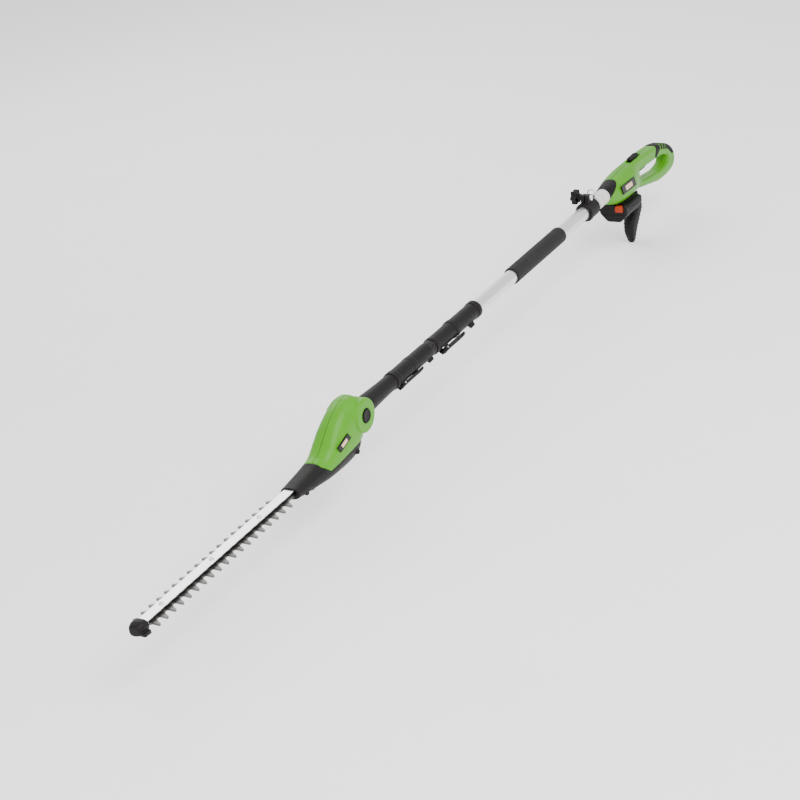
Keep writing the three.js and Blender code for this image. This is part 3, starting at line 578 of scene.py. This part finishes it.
def build_head():
    body = loft("head_form", HEAD, HEAD_POWER, FINE)
    above = prism("above", SEAM + [(90, -32), (90, 60)], -50, 50)
    keep(body, above)
    ears, boss = loft("ears", EAR, HEAD_POWER, 72), about_pivot("boss", BOSS)
    boolean(body, [ears, boss], "UNION")
    tools = [loft("hollow", HEAD[1:10], HEAD_POWER, 64, inset=SHELL_WALL),
             block(95, PIVOT[0] + 1, -EAR_GAP, EAR_GAP, -60, 60),
             about_pivot("knuckle_room", [(-EAR_GAP, KNUCKLE_ROOM), (EAR_GAP, KNUCKLE_ROOM)]),
             about_pivot("pin_hole", [(-60, 5.3), (24.6, 5.3)]),
             about_pivot("button_hole", [(24.4, CAP_R + 0.7), (60, CAP_R + 0.7)]),
             about_pivot("crease", [(29.3, 35.6), (45, 38)], 33.1),
             slanted("recess", HEAD_BADGE, -0.3, 20, grow=0.4)]
    cut(body, *tools)
    for side, name in ((1, "head_shell_left"), (-1, "head_shell_right")):
        half = link(name + "_skin", body.data.copy())
        left_of(half, side)
        soften(half, 0.8, 5)
        stand_for(half, name)
    remove(body, above, ears, boss, *tools)

    cover = loft("gear_cover_skin", HEAD, HEAD_POWER, FINE)
    below = prism("below", COVER_SEAM + [(158, -90), (400, -90), (400, 10), (286.8, 10)], -60, 60)
    keep(cover, below)
    rear_boss = [(-29.5, 4.2), (-28.5, 5.2), (28.5, 5.2), (29.5, 4.2)]
    front_boss = [(-21, 3.6), (-20, 4.6), (20, 4.6), (21, 3.6)]
    bosses = [turned("boss", profile, centre, "y", 32)
              for profile, centre in zip((rear_boss, front_boss), COVER_BOSSES)]
    boolean(cover, bosses, "UNION")
    tools = [loft("hollow", HEAD[1:10], HEAD_POWER, 64, inset=COVER_WALL),
             block(330, 400, -11.4, 11.4, -44.8, -32.9),
             turned("swing", [(-60, COVER_ROOM), (60, COVER_ROOM)], PIVOT, "y", FINE)]
    screw = [(-80, 4.3), (-55.6, 4.3), (-55.6, 2.3), (-40, 2.3)]
    tools += [turned("screw", screw, (COVER_SCREW[0], COVER_SCREW[1] * side, 0), "z", 32) for side in (-1, 1)]
    tools += [turned("socket", [(side * 40, 2.6), (side * 27.4, 2.6)], COVER_BOSSES[0], "y", 24)
              for side in (-1, 1)]
    cut(cover, *tools)
    soften(cover, 0.8, 3)
    stand_for(cover, "gear_cover")
    remove(below, *bosses, *tools)

    button = [(29, CAP_R), (33.6, CAP_R), (34.8, 12.9), (35.4, 11.9), (35.4, 10), (34.9, 9.3), (34.5, 8.6),
              (34.2, 0.01)]
    disc = about_pivot("tilt_button_face", button)
    notches = []
    for i in range(NOTCHES):
        angle = math.radians(360 / NOTCHES * i)
        centre = (PIVOT[0] + NOTCH_REACH * math.cos(angle), 0, PIVOT[2] + NOTCH_REACH * math.sin(angle))
        notches.append(turned("notch", [(33, 1.1), (37, 1.1)], centre, "y", 12))
    cut(disc, *notches)
    stand_for(round_edges(disc, 0.25, 35), "tilt_button")
    remove(*notches)
    cap = about_pivot("pin_cap_face", [(-30.7, 11.5), (-34, 11.5), (-35.1, 10.6), (-35.5, 9), (-35.5, 0.01)])
    hexagon = turned("hexagon", [(-40, 4), (-33.2, 4)], PIVOT, "y", 6)
    cut(cap, hexagon)
    remove(hexagon)
    stand_for(round_edges(cap, 0.3, 35), "tilt_pin_cap")
    pin = about_pivot("tilt_pin_bar", [(-30.4, 4.3), (-29.8, 4.9), (23.6, 4.9), (24.2, 4.3)])
    stand_for(smooth_by_angle(pin), "tilt_pin")


def badge(spec, node):
    plate = slanted(node + "_plate", spec, 0, spec["thick"])
    stand_for(round_edges(plate, 0.5, 30, 3), node)
    rim = slanted(node + "_rim", spec, spec["thick"] - 0.5, spec["thick"] + 0.25, 0.93, 0.82)
    inner = slanted(node + "_inner", spec, spec["thick"] - 2, spec["thick"] + 2, 0.89, 0.70)
    cut(rim, inner)
    remove(inner)
    extra(round_edges(rim, 0.1), BODY_OF[node], "nameplate")
    panel = slanted(node + "_panel", spec, spec["thick"] - 0.4, spec["thick"] + 0.15, 0.5, 0.56)
    extra(round_edges(panel, 0.12), BODY_OF[node], "nameplate", PANEL)


# ---- the cutter ----
BOLT_X = (470, 622, 774)


def build_cutter():
    for node, width, segments in (("blade_upper", 0.35, 1), ("blade_lower", 0.35, 1), ("blade_bar", 0.7, 2),
                                  ("gear_plate", 0.3, 2)):
        piece = copy_of(node, node + "_ground")
        stand_for(round_edges(piece, width, 35, segments), node)
    # A dark strip along each side of the blade bar: painted shade where the bar's sides fall in shadow.
    for side in (-1, 1):
        low, high = sorted((side * 9.3, side * 9.95))
        shade_strip = block(276, 826, low, high, -39.8, -34.7, f"bar_side_shade_{'left' if side > 0 else 'right'}")
        extra(round_edges(shade_strip, 0.15), BODY_OF["blade_bar"], "blade_steel", BAR_SIDE_SHADE)
    for i, x in enumerate(BOLT_X):
        profile = [(-33.1, 4.4), (-31.6, 4.4), (-31.0, 4.0), (-30.8, 3.2), (-30.8, 0.01)]
        head = turned(f"bolt_head_{i + 1}", [(-46.9, 2.4), (-33.1, 2.4)] + profile, (x, 0, 0), "z", 32)
        recess = turned("recess", [(-32.4, 1.9), (-30, 1.9)], (x, 0, 0), "z", 6)
        nut = turned("nut", [(-47.6, 4.0), (-47.3, 4.6), (-45.0, 4.6), (-44.7, 4.0)], (x, 0, 0), "z", 6)
        cut(head, recess)
        boolean(head, [nut], "UNION")
        remove(recess, nut)
        stand_for(smooth_by_angle(head), f"blade_bolt_{i + 1}")
    guard = copy_of("tip_guard", "tip_guard_cap")
    stand_for(soften(guard, 0.6, 6), "tip_guard")


# ---- neck and coupler ----
NECK_BORE = 12.6
MIDDLE_R = 15.6
MIDDLE_BORE = 14.8
SLEEVE_BORE = 15.1
LEVER_PIN_HOLE = 1.75
LEVER_BORE = 2.1       # reamed after smoothing, so that the lever clears its pin
ROLL = math.radians(45)
LEVERS = {"front": (-31, 20.0), "rear": (-198, 22.8)}


def rolled(obj):
    centre = at(0, 0, 0)
    turn = Matrix.Rotation(ROLL, 4, "X")
    obj.data.transform(Matrix.Translation(centre) @ turn @ Matrix.Translation(-centre))
    return obj


def sleeve(node, x0, profile, lever, lug_x, lug_reach):
    lever_x, lever_z = lever
    body = turned(node + "_body", [(x0 + x, r) for x, r in profile], around=FINE, bore=SLEEVE_BORE)
    ears = [prism("ear", [(lever_x - 8, -14), (lever_x + 8, -14), (lever_x + 5, -lever_z - 3.4),
                          (lever_x - 5, -lever_z - 3.4)], y0, y0 + 2.8) for y0 in (-10.4, 7.6)]
    lug_side = [(lug_x - 8, -14), (lug_x + 7, -14), (lug_x + 4, -lug_reach), (lug_x - 3, -lug_reach)]
    lug = prism("lug", lug_side, -5, 5)
    boolean(body, ears + [lug], "UNION")
    tools = [turned("bore", [(x0 - 190, SLEEVE_BORE), (x0 + 30, SLEEVE_BORE)], around=FINE),
             turned("pin", [(-30, LEVER_PIN_HOLE), (30, LEVER_PIN_HOLE)], (lever_x, 0, -lever_z), "y", 24),
             prism("room", [(lever_x - 9, -lever_z + 7), (lever_x + 9, -lever_z + 7), (lever_x + 9, -40),
                            (lever_x - 9, -40)], -7.3, 7.3)]
    cut(body, *tools)
    soften(body, 0.55, 4)
    rolled(body)
    stand_for(body, node)
    remove(*ears, lug, *tools)


def build_coupler():
    neck = [(-92, 14.0), (-91.4, 14.5), (-9, 14.5), (-8.7, 16)] + [tuple(p) for p in spline(
        [(-8.4, 16), (0, 16), (20, 16.4), (40, 17), (60, 17.8), (80, 18.8), (91.4, 19), (92, 18.7)], 3)]
    stand_for(smooth_by_angle(turned("neck_skin", neck, around=FINE, bore=NECK_BORE), 50), "neck_tube")
    stand_for(soften(copy_of("knuckle", "knuckle_skin"), 0.7, 8), "knuckle")
    tube = turned("middle_skin", [(-350, MIDDLE_R), (-9.6, MIDDLE_R)], around=FINE, bore=MIDDLE_BORE)
    stand_for(smooth_by_angle(tube), "middle_tube")
    front = [(-152, 16.2), (-151.5, 16.6), (-92.4, 16.6), (-91, 17.5), (-80, 17.5), (-78.6, 16.8),
             (-28.4, 16.8), (-27, 17.8), (-13, 17.8), (-12, 17.2)]
    sleeve("front_clamp", 0, front, LEVERS["front"], -144, 22)
    rear = [(-172, 16.8), (-171.4, 17.2), (-94.4, 17.2), (-93, 18.6), (-80, 18.6), (-78.4, 16.9),
            (-12.4, 16.9), (-11, 17.5), (-0.8, 17.5), (0, 16.9)]
    sleeve("rear_clamp", -171, rear, LEVERS["rear"], -313, 25)
    ring = [(-358, 17), (-357.4, 17.8), (-356.5, 18.4), (-351.6, 18.4), (-351.2, 18.0), (-350.2, 18.0),
            (-349.8, 18.4), (-344.5, 18.4), (-343.3, 17.6)]
    stand_for(smooth_by_angle(turned("end_ring_skin", ring, around=FINE, bore=MIDDLE_BORE), 40), "end_ring")
    for which in LEVERS:
        arm = soften(copy_of(f"{which}_lever", f"{which}_lever_arm"), 0.45, 6)
        lever_x, lever_z = LEVERS[which]
        reamer = turned("reamer", [(-30, LEVER_BORE), (30, LEVER_BORE)], (lever_x, 0, -lever_z), "y", 32)
        rolled(reamer)
        cut(arm, reamer)
        remove(reamer)
        stand_for(arm, f"{which}_lever")
        pin = copy_of(f"{which}_lever_pin", f"{which}_pin_bar")
        stand_for(smooth_by_angle(pin, 50), f"{which}_lever_pin")


# ---- pole ----
POLE_R = 14.5
POLE_RIM = 14.2        # at the two ends, where the edge is broken
POLE_BORE = 13.2
FITTED_BORE = 14.6     # of what is pushed onto the pole
CLAMP = {"x": -894, "length": 44, "outer": 20.5, "bolt": 28}
KNOB = {"radius": 14.4, "swell": 2.4, "lobes": 6}
RING = {"x": -908, "y": 6, "z": 23, "radius": 9, "wire": 1.4}


def build_pole():
    tube = turned("pole_skin", [(-1060, POLE_RIM), (-1059.6, POLE_R), (-238.4, POLE_R), (-238, POLE_RIM)],
                  around=128, bore=POLE_BORE)
    stand_for(smooth_by_angle(tube), "pole_tube")
    foam_profile = [(-750, 16.2), (-749, 17.1), (-747, 17.75), (-744, 17.8), (-527, 17.8), (-524, 17.75),
                    (-522, 17.1), (-521, 16.2)]
    foam = turned("foam_sleeve", [tuple(p) for p in spline(foam_profile, 2.5)], around=FINE, bore=FITTED_BORE)
    stand_for(smooth_by_angle(foam, 50), "foam_grip")
    x, outer, bolt = CLAMP["x"], CLAMP["outer"], CLAMP["bolt"]
    low, high = x - CLAMP["length"] / 2, x + CLAMP["length"] / 2
    band = turned("band", [(low, outer - 1.5), (low + 2, outer), (high - 2, outer), (high, outer - 1.5)],
                  around=FINE, bore=FITTED_BORE)
    solids = [prism("ears", [(x - 11, 13), (x + 13, 13), (x + 9, bolt + 6.5), (x - 6, bolt + 6.5)], -9, 9),
              prism("foot", [(x - 13, -18), (x + 13, -18), (x + 9, -23.5), (x - 9, -23.5)], -6, 6),
              prism("eye", [(RING["x"] - 6, 14), (RING["x"] + 6, 14), (RING["x"] + 5, RING["z"] + 5.5),
                            (RING["x"] - 5, RING["z"] + 5.5)], 3.5, 8.5)]
    boolean(band, solids, "UNION")
    tools = [turned("bore", [(x - 60, FITTED_BORE), (x + 60, FITTED_BORE)], around=FINE),
             turned("eye_hole", [(0, 3.2), (20, 3.2)], (RING["x"], 0, RING["z"]), "y", 32),
             turned("bolt_hole", [(-20, 3.3), (20, 3.3)], (x, 0, bolt), "y", 32)]
    cut(band, *tools)
    for side, node in ((1, "strap_clamp_left"), (-1, "strap_clamp_right")):
        half = link(node + "_skin", band.data.copy())
        tool = block(-1000, -800, *((1, 50) if side > 0 else (-50, -1)), -50, 60)
        keep(half, tool)
        remove(tool)
        stand_for(soften(half, 0.6, 4), node)
    remove(band, *solids, *tools)
    outline = []
    for i in range(FINE):
        angle = 2 * math.pi * i / FINE
        radius = KNOB["radius"] + KNOB["swell"] * math.cos(KNOB["lobes"] * angle)
        outline.append((x + radius * math.cos(angle), bolt + radius * math.sin(angle)))
    knob = rounded_prism("knob_skin", outline, 7, 2.6, middle=-26)
    hub = turned("hub", [(-20, 7), (-9.6, 7)], (x, 0, bolt), "y", 48)
    dish = turned("dish", [(-36, 9.5), (-32, 8), (-31.2, 6)], (x, 0, bolt), "y", 48)
    hole = turned("hole", [(-28, 3.1), (0, 3.1)], (x, 0, bolt), "y", 32)
    boolean(knob, [hub], "UNION")
    cut(knob, dish, hole)
    remove(hub, dish, hole)
    stand_for(soften(knob, 0.6, 4), "clamp_knob")
    points, turns, sides = [], 64, 14
    for i in range(turns):
        a = 2 * math.pi * i / turns
        for j in range(sides):
            b = 2 * math.pi * j / sides
            reach = RING["radius"] + RING["wire"] * math.cos(b)
            points.append((RING["x"] + RING["wire"] * math.sin(b), RING["y"] + reach * math.cos(a),
                           RING["z"] + RING["radius"] + reach * math.sin(a)))
    faces = [(i * sides + j, i * sides + (j + 1) % sides, (i + 1) % turns * sides + (j + 1) % sides,
              (i + 1) % turns * sides + j) for i in range(turns) for j in range(sides)]
    stand_for(smooth(mesh_object("ring_wire", points, faces)), "strap_ring")
    bolt_copy = copy_of("clamp_bolt", "clamp_bolt_bar")
    stand_for(smooth_by_angle(round_edges(bolt_copy, 0.25, 50), 40), "clamp_bolt")
    collar = [(-973.6, 16.4), (-973, 16.8), (-950.6, 16.8), (-950.2, 16.5), (-949.2, 16.5), (-948.8, 16.8),
              (-930, 16.8), (-927, 15.8)]
    stand_for(smooth_by_angle(turned("collar_skin", collar, around=FINE, bore=FITTED_BORE), 40), "tube_collar")


# ---- the rear handle ----
BARREL = [(-974, 17.6, 17.6, -18), (-985, 19.5, 18.6, -24), (-1000, 22.5, 20, -30), (-1018, 25.6, 22, -35),
          (-1040, 27.8, 24, -38.5), (-1065, 28.5, 25.5, -39.5), (-1090, 27.6, 26.5, -40),
          (-1110, 24, 26, -40.5), (-1128, 19, 24, -40.5), (-1138, 14, 20, -38)]
BARREL_POWER = 2.7
GRIP_HALF = 16.5
LOOP = curve_path((-1080, 26), [
    [(-1120, 27)], [(-1200, 27), (-1250, 19)], [(-1312, 8), (-1328, -26)], [(-1334, -52), (-1306, -60)],
    [(-1272, -67), (-1230, -62)], [(-1170, -50), (-1130, -40.8)], [(-1080, -40.4)]])
HAND_HOLE = curve_path((-1128, -2), [
    [(-1122, -8), (-1128, -17)], [(-1136, -28), (-1158, -31)], [(-1240, -41)], [(-1290, -42), (-1290, -26)],
    [(-1286, -14), (-1254, -9.5)], [(-1180, -3), (-1128, -2)]])
SADDLE = [(-1236, 60), (-1236, 24), (-1221, -1), (-1230, -3), (-1250, 8), (-1292, -5), (-1312, -24),
          (-1360, -30), (-1360, 60)]
MOUTH = {"top": -1050, "bottom": -900}      # the slanted joint of the black collar, at z 40 and z -50
SCREWS = [(-1104, -28), (-1230, -51), (-1308, -38)]
TRIGGER = (-1208, 0)
TRIGGER_BORE = 2.45    # reamed after smoothing, so that the trigger clears its pin


def loop_form(name, swell=0.0):
    loop = rounded_prism(name, offset_outline(LOOP, swell), GRIP_HALF + swell, 8)
    hole = rounded_prism("hand_hole", offset_outline(HAND_HOLE, -swell), GRIP_HALF + swell, 6, grow=True)
    cut(loop, hole)
    remove(hole)
    return loop


def behind_mouth(shift):
    side = [(MOUTH["top"] + shift, 40), (-1400, 40), (-1400, -90), (MOUTH["bottom"] + shift, -50)]
    return prism("behind", side, -60, 60)


def build_housing():
    barrel = loft("barrel", BARREL, BARREL_POWER, FINE)
    behind = behind_mouth(-0.3)
    keep(barrel, behind)
    loop = loop_form("loop")
    boolean(barrel, [loop], "UNION")
    saddle_side = [(x + 0.3, z - 0.3) for x, z in SADDLE]
    trigger_side = [(-1217, -20), (-1121, -20), (-1121, 13), (-1150, 13), (-1217, 8)]
    tools = [slanted("recess", HANDLE_BADGE, -0.3, 20, grow=0.4), prism("saddle_room", saddle_side, -60, 60),
             prism("trigger_room", trigger_side, -6.8, 6.8),
             turned("pin", [(-12, 2.1), (12, 2.1)], (TRIGGER[0], 0, TRIGGER[1]), "y", 24),
             block(-1122, -1086, -9.5, 9.5, -14, 13), block(-1168, -1112, -6.4, 6.4, 16, 60),
             turned("pole_room", [(-1062, 14.8), (-900, 14.8)], around=64),
             loft("hollow", BARREL[1:7], BARREL_POWER, 64, inset=SHELL_WALL),
             block(-1140, -1000, -20, 20, -60, -37.9)]
    screw = [(-40, 3.6), (-11.6, 3.6), (-11.6, 1.8), (12, 1.8)]
    tools += [turned("screw", screw, (x, 0, z), "y", 24) for x, z in SCREWS]
    cut(barrel, *tools)
    for side, node in ((1, "housing_left"), (-1, "housing_right")):
        half = link(node + "_skin", barrel.data.copy())
        left_of(half, side)
        stand_for(soften(half, 0.9, 4), node)
    remove(barrel, behind, loop, *tools)

    collar = loft("collar", BARREL, BARREL_POWER, FINE)
    tools = [behind_mouth(0), turned("bore", [(-1020, FITTED_BORE), (-940, FITTED_BORE)], around=FINE)]
    cut(collar, *tools)
    grooves = [turned("groove", [(x - 0.9, 40), (x + 0.9, 40)], around=64, bore=bore)
               for x, bore in ((-980, 17.6), (-984, 18.2))]
    cut(collar, *grooves)
    stand_for(soften(collar, 0.7, 3), "mouth_collar")
    remove(*tools, *grooves)

    saddle = loop_form("saddle_skin", 0.5)
    over = prism("over", SADDLE, -60, 60)
    keep(saddle, over)
    slits = []
    for x, z in ((-1258, 13), (-1270, 8), (-1282, 2)):
        for side in (-1, 1):
            low, high = (5.5, 30) if side > 0 else (-30, -5.5)
            slit = [(x - 2, z + 16), (x + 1, z + 16), (x + 9, z - 9), (x + 6, z - 9)]
            slits.append(prism("slit", slit, low, high))
    inlay = link("grip_inlay", saddle.data.copy())
    cut(saddle, *slits)
    strips = slits[0]
    boolean(strips, slits[1:], "UNION")
    keep(inlay, strips)
    remove(over, *slits)
    stand_for(soften(saddle, 0.7, 3), "grip_saddle")
    extra(soften(inlay, 0.5, 3), "handle", "green_shell")

    blade = soften(copy_of("trigger", "trigger_blade"), 0.5, 6)
    reamer = turned("reamer", [(-30, TRIGGER_BORE), (30, TRIGGER_BORE)], (TRIGGER[0], 0, TRIGGER[1]), "y", 32)
    cut(blade, reamer)
    remove(reamer)
    stand_for(blade, "trigger")
    lock = copy_of("lock_off_button", "lock_slider")
    ridges = [block(x, x + 1.6, -5, 5, 31, 33.2) for x in (-1153, -1147, -1141, -1135, -1129, -1123)]
    boolean(lock, ridges, "UNION")
    stand_for(soften(lock, 0.4, 4), "lock_off_button")
    remove(*ridges)


def build_battery():
    grooves = [block(-1086, -1026, *ys, z - 0.7, z + 0.7) for z in (-46, -49.5, -53)
               for ys in ((-34, -32.2), (32.2, 34))]
    upper = copy_of("battery_case_upper", "battery_top")
    cut(upper, *grooves)
    stand_for(soften(upper, 0.6, 3), "battery_case_upper")
    remove(*grooves)
    stand_for(soften(copy_of("battery_case_lower", "battery_base"), 0.6, 4), "battery_case_lower")
    button = copy_of("battery_button", "battery_latch")
    ribs = [block(-1011.2, -1009.9, 8, 22, z - 0.5, z + 0.5) for z in (-42, -44.5, -47, -49.5)]
    boolean(button, ribs, "UNION")
    stand_for(soften(button, 0.35, 4), "battery_button")
    remove(*ribs)
    stand_for(round_edges(copy_of("battery_rail", "rail_shoe"), 0.4), "battery_rail")


# The stand's levels: height, rear, front, half width; its ribs run between the two heights.
STAND = [(-154, -1096, -1085, 5.5), (-148, -1100, -1081, 8), (-128, -1109, -1074, 11.5),
         (-104, -1126, -1079, 14), (-82, -1140, -1100, 15), (-44, -1124, -1092, 15)]
RIBS = {"low": -146, "high": -62, "fade": 6, "pitch": 7.5, "depth": 0.9}
STAND_CORNER = 0.6     # below 1 the stand's section is boxier than an ellipse


def build_stand():
    rows, around, points = spline(STAND, 0.8), 72, []
    for z, x0, x1, half in rows:
        rise = max(0.0, min(1.0, (z - RIBS["low"]) / RIBS["fade"]))
        fall = max(0.0, min(1.0, (RIBS["high"] - z) / RIBS["fade"]))
        ridge = -RIBS["depth"] * rise * fall * (0.5 + 0.5 * math.cos(2 * math.pi * z / RIBS["pitch"])) ** 3
        for j in range(around):
            angle = 2 * math.pi * j / around
            c, s = math.cos(angle), math.sin(angle)
            points.append(((x0 + x1) / 2 + ((x1 - x0) / 2 + ridge) * math.copysign(abs(c) ** STAND_CORNER, c),
                           (half + ridge) * math.copysign(abs(s) ** STAND_CORNER, s), z))
    stand = mesh_object("stand_skin", points, grid_faces(len(rows), around))
    loop_side = [(-1080, -41.2), (-1130, -41.2), (-1180, -53), (-1180, 0), (-1080, 0)]
    tools = [prism("loop_room", loop_side, -40, 40), block(-1096.8, -1000, -60, 60, -80, 0)]
    cut(stand, *tools)
    remove(*tools)
    stand_for(smooth_by_angle(stand, 45), "rear_stand")


build_head()
badge(HEAD_BADGE, "head_badge")
build_cutter()
build_coupler()
build_pole()
build_housing()
badge(HANDLE_BADGE, "handle_badge")
build_battery()
build_stand()
for node_name in ("motor_can", "cell_pack", "trigger_pin", "crank_axle", "plate_screw_1", "plate_screw_2",
                  "housing_screw_1", "housing_screw_2", "housing_screw_3", "crank_gear", "drive_pinion"):
    part_copy = copy_of(node_name, node_name + "_finished")
    stand_for(smooth_by_angle(round_edges(part_copy, 0.12, 40, 1), 40), node_name)


# ---- floor, light and camera ----
FLOOR_HALF = 9000
FLOOR_DROP = 0.2       # the floor lies this far under the foot
WORLD_STRENGTH = 1.35
LAMPS = (("key", (0.4, 2.2, 2.6), 2.2, 115), ("fill", (2.6, 0.6, 1.4), 2.0, 35),
         ("back", (-1.6, -1.8, 2.0), 2.0, 40))


def build_stage():
    corners = ((-1, -1), (1, -1), (1, 1), (-1, 1))
    points = [(sx * FLOOR_HALF, sy * FLOOR_HALF, FOOT_Z - FLOOR_DROP) for sx, sy in corners]
    floor = mesh_object("floor", points, [(0, 1, 2, 3)])
    n = Nodes("pale_floor")
    tone = n.ramp(n.noise(3, 4), [(0.3, (0.95, 0.95, 0.95)), (0.7, (0.97, 0.97, 0.97))])
    n.paint(tone, n.levels(n.noise(8, 3), 0.3, 0.7, 0.8, 0.9))
    floor.data.materials.append(n.material)
    world = bpy.data.worlds.new("studio")
    bpy.context.scene.world = world
    world.use_nodes = True
    background = world.node_tree.nodes["Background"]
    background.inputs["Color"].default_value = (1.0, 1.0, 1.0, 1)
    background.inputs["Strength"].default_value = WORLD_STRENGTH
    middle = at(-150, 0, 0)
    for name, spot, size, power in LAMPS:
        data = bpy.data.lights.new(name, "AREA")
        data.size = size
        data.energy = power
        lamp = bpy.data.objects.new(name, data)
        bpy.context.scene.collection.objects.link(lamp)
        lamp.location = middle + Vector(spot)
        lamp.rotation_euler = Vector(spot).to_track_quat("Z", "Y").to_euler()


RIGHT = Vector((-0.47985, 0.86596, -0.14233))
UP = Vector((-0.42774, -0.08952, 0.89949))
BACK = Vector((0.766, 0.492, 0.413))
VIEW_SHIFT = (0.0238, -0.0272, 4.499)     # right, up and back from the pole's origin, in metres
LENS = 108.0


def build_camera():
    data = bpy.data.cameras.new("camera")
    data.lens = LENS
    data.sensor_width = 36.0
    data.clip_end = 60
    camera = bpy.data.objects.new("camera", data)
    bpy.context.scene.collection.objects.link(camera)
    axes = Matrix((RIGHT, UP, BACK)).transposed().to_4x4()
    spot = at(0, 0, 0) + sum((axis * d for axis, d in zip((RIGHT, UP, BACK), VIEW_SHIFT)), Vector())
    camera.matrix_world = Matrix.Translation(spot) @ axes
    bpy.context.scene.camera = camera


build_stage()
build_camera()
